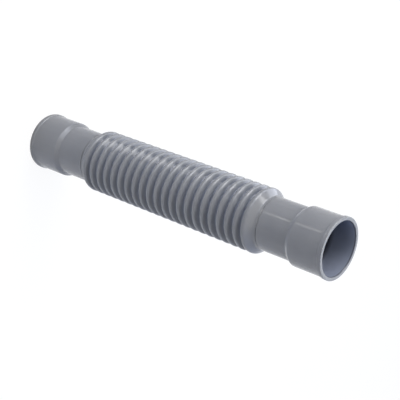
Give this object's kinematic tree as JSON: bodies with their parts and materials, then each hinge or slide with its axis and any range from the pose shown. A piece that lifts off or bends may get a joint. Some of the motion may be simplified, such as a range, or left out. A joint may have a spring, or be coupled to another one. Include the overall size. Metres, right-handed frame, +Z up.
{
  "type": "flexible waste connector",
  "caption": "Grey plastic bellows tube with a solvent-weld socket at each end, for joining waste pipes out of line.",
  "frame": {"origin": "centre of the lower mouth, in the plane of its cut rim, on which the connector stands", "axes": "+Z up along the tube's axis, from the lower socket to the upper one, which are alike; X and Y are any pair across it, as the part is round"},
  "size_m": [0.0492, 0.0492, 0.2878],
  "materials": {
    "grey_pvc": "satin"
  },
  "bodies": {
    "root": {"flexible_connector": "grey_pvc"}
  },
  "joints": []
}
